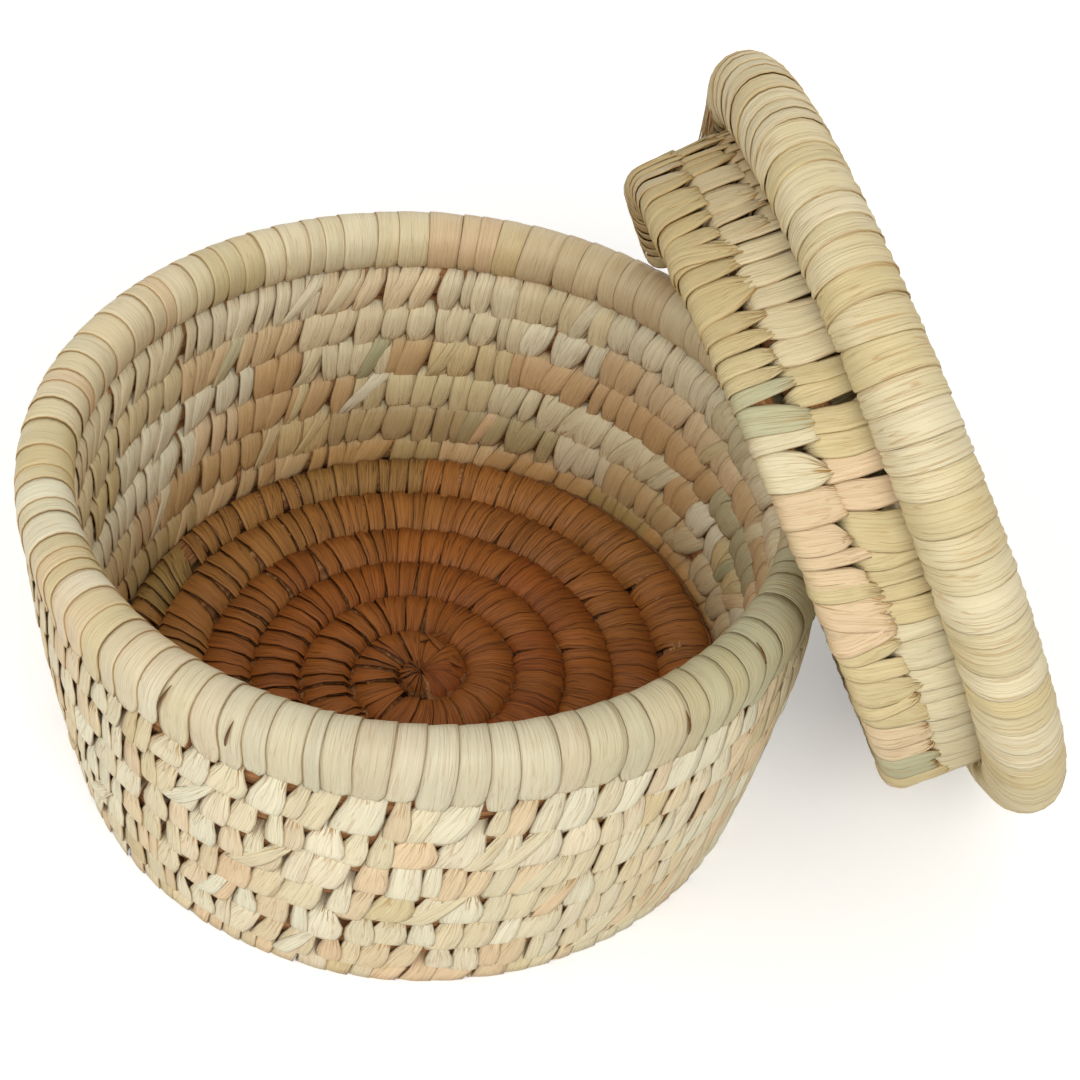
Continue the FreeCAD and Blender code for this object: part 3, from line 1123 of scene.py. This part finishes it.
skyward = math.radians(90)


def top_row_tail(turn):
    """The screw leaves a wedge under the disc, and the stitches cross it."""
    return 4.0 * mm + collar_pitch * (collar_turns - turn)


def collar_colours(dice, turn):
    """Straw, peach and cream, with painted shade at the top of the leaning lid."""
    # Painted shade: an olive darkening at the collar's top.
    painted_top_shade = smooth(1 - abs(turn % 1 - 0.14) * 6)
    picked = pick(dice, [(straw, 5), (peach, 3), (cream, 3), (sage, 1)])
    return [blended(picked, olive, painted_top_shade * 0.4)] * 2


def collar_girth(turn):
    return math.tau * collar_radius


edge_row_style = dict(front=finer(pad), behind=finer(pointed), aim=always(skyward),
                      tail=always(6.4 * mm), tails=(0.5, 1.4), columns=6, firm=(0.2, 1.3),
                      lift=0.42 * mm, pleat=0.22 * mm, ridge=0.85 * mm, folds=2.6,
                      flat=False, centre=None, mixed=True)
top_row_style = dict(edge_row_style, behind=finer(band), tail=top_row_tail, tails=(1.0, 1.1))
print("longest stitch to the disc:", round(top_row_tail(collar_turns - 1) / mm, 1), "mm")

# %% Wrap the collar
collar_wraps = Wraps("lid_collar_wraps", 43)
wrap_coil(collar_wraps, collar_line, 0, collar_turns - 1, collar_spacing, edge_row_style,
          collar_colours, collar_girth, 0.25)
wrap_coil(collar_wraps, collar_line, collar_turns - 1, collar_turns, collar_spacing,
          top_row_style, collar_colours, collar_girth, 0.35)
dice = collar_wraps.dice
for i in range(collar_crossings):
    turn = dice.uniform(0.02, collar_turns - 1.05)
    reach = dice.uniform(2.6, 4.6) * mm / collar_girth(turn)
    lay_strip(collar_wraps, over(collar_line), turn, reach, edge_row_style,
              dice.uniform(-0.5, 1.3), collar_colours(dice, turn))
collar_wraps.finish("lid_collar_coil", "lid", wall_leaf)

# %% [markdown]
# The lid's rim is wrapped like the basket's, but the straps are creased, and they
# tuck in between the collar and the disc. Where the rim's coil begins, at its upper
# left, the fibre of the bundle was left uncut, and hangs down as a small tuft. A hair
# system would do for that, but thirty thin strips are lighter and are real mesh.

# %% Wrap the lid's rim
tuft_strips = 34
lid_rim_style = dict(rim_style, front=finer(strap_end), aim=always(math.radians(205)),
                     tail=always(3.5 * mm), lift=0.30 * mm, pleat=0.20 * mm,
                     ridge=1.30 * mm, folds=2.8, columns=8)


def lid_rim_girth(turn):
    return math.tau * lid_rim_radius


lid_rim_wraps = Wraps("lid_rim_wraps", 47)
wrap_coil(lid_rim_wraps, lid_rim_line, 0, 1, 9.4 * mm, lid_rim_style, lid_colours,
          lid_rim_girth, 0.22, (1, 3))
dice = lid_rim_wraps.dice
for i in range(tuft_strips):
    middle, out, rise, wide, high = lid_rim_line(dice.uniform(0.104, 0.138))
    under = math.radians(dice.uniform(258, 296))
    start = middle + (out * math.cos(under) + rise * math.sin(under)) * high * 0.98
    hanging = Vector((dice.uniform(-0.12, 0.2), dice.uniform(-0.3, 0.1), -1))
    loose_end(lid_rim_wraps, start, hanging, out.cross(rise) * dice.uniform(-0.25, 0.25),
              lid_level, dice.uniform(9, 21) * mm, 1.5 * mm,
              blended(cinnamon, straw, dice.uniform(0, 1)))
lid_rim_wraps.finish("lid_rim_coil", "lid", lid_leaf)

# %% [markdown]
# The stage is a plain white table under a white sky. More light would make it white
# but bleach the leaf too, so the table glows for the camera alone: least close to the
# basket, where the soft shadow lies, and fully at the horizon.

# %% The table
table_half = 6.0
glow_near, glow_far = 0.25, 1.2
shadow_glow = 0.32
black, white = (0, 0, 0, 1), (1, 1, 1, 1)
table_mesh = bmesh.new()
bmesh.ops.create_grid(table_mesh, x_segments=1, y_segments=1, size=table_half)
table_data = bpy.data.meshes.new("table")
table_mesh.to_mesh(table_data)
table_mesh.free()
table = bpy.data.objects.new("table", table_data)
bpy.context.scene.collection.objects.link(table)
table_material, table_shader, table_start = start_material("white table")
table_shader.inputs["Base Color"].default_value = (0.9, 0.9, 0.9, 1)
table_shader.inputs["Roughness"].default_value = 0.9
table_shader.inputs["Emission Strength"].default_value = 1.0
looked_at = table_start.node("ShaderNodeLightPath", None, None, "Is Camera Ray")
ground_at = table_start.node("ShaderNodeTexCoord", None, None, "Object")
far = table_start.node("ShaderNodeVectorMath", {"operation": "LENGTH"}, {0: ground_at}, 1)
grey = (shadow_glow, shadow_glow, shadow_glow, 1)
glow = looked_at.mixed(black, far.between(glow_near, glow_far).mixed(grey, white))
table_material.node_tree.links.new(glow.socket, table_shader.inputs["Emission Color"])
table_data.materials.append(table_material)
table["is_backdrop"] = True
print("table:", 2 * table_half, "m wide")

# %% [markdown]
# The photograph has the soft light of a studio tent. The sky gives most of it. A large
# lamp in front and a weaker one at the left model the wraps, and one behind keeps the
# back from going dull. The sky is full white only where the camera or a gloss sees
# it, and dimmer and a little warm where it lights the basket.

# %% Lamps and sky
def lamp(name, where, size, power):
    """A soft square lamp that faces the basket."""
    data = bpy.data.lights.new(name, "AREA")
    data.size = size
    data.energy = power
    made = bpy.data.objects.new(name, data)
    bpy.context.scene.collection.objects.link(made)
    made.location = where
    made.rotation_euler = (look_at - Vector(where)).to_track_quat("-Z", "Y").to_euler()


lamp("key", (0.35, -1.25, 1.15), 0.9, 12.0)
lamp("fill", (-1.1, -0.9, 1.0), 1.2, 6.0)
lamp("back", (0.4, 1.4, 1.1), 1.2, 4.0)
sky_light = 0.52
sky_warmth = (1.0, 0.97, 0.92, 1)
world = bpy.data.worlds.new("sky")
bpy.context.scene.world = world
world.use_nodes = True
world_tree = world.node_tree
background = world_tree.nodes["Background"]
sky = Value(world_tree, None)
seen = sky.node("ShaderNodeLightPath", None, None, "Is Camera Ray")
glossy = sky.node("ShaderNodeLightPath", None, None, "Is Glossy Ray")
strength = sky_light + (seen + glossy) * (1 - sky_light)
world_tree.links.new(strength.socket, background.inputs["Strength"])
world_tree.links.new((seen + glossy).mixed(sky_warmth, white).socket, background.inputs["Color"])
bpy.context.scene.view_settings.view_transform = "Standard"
print("lamps:", [light.name for light in bpy.data.lights])

# %% [markdown]
# Last, the size is printed. The dressed basket has to stay within the box of the
# solids, so its box is printed in millimetres.

# %% Sizes and finish
bpy.context.view_layer.update()
low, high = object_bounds()
print("dressed box in mm:", [round(v / mm, 1) for v in high - low])
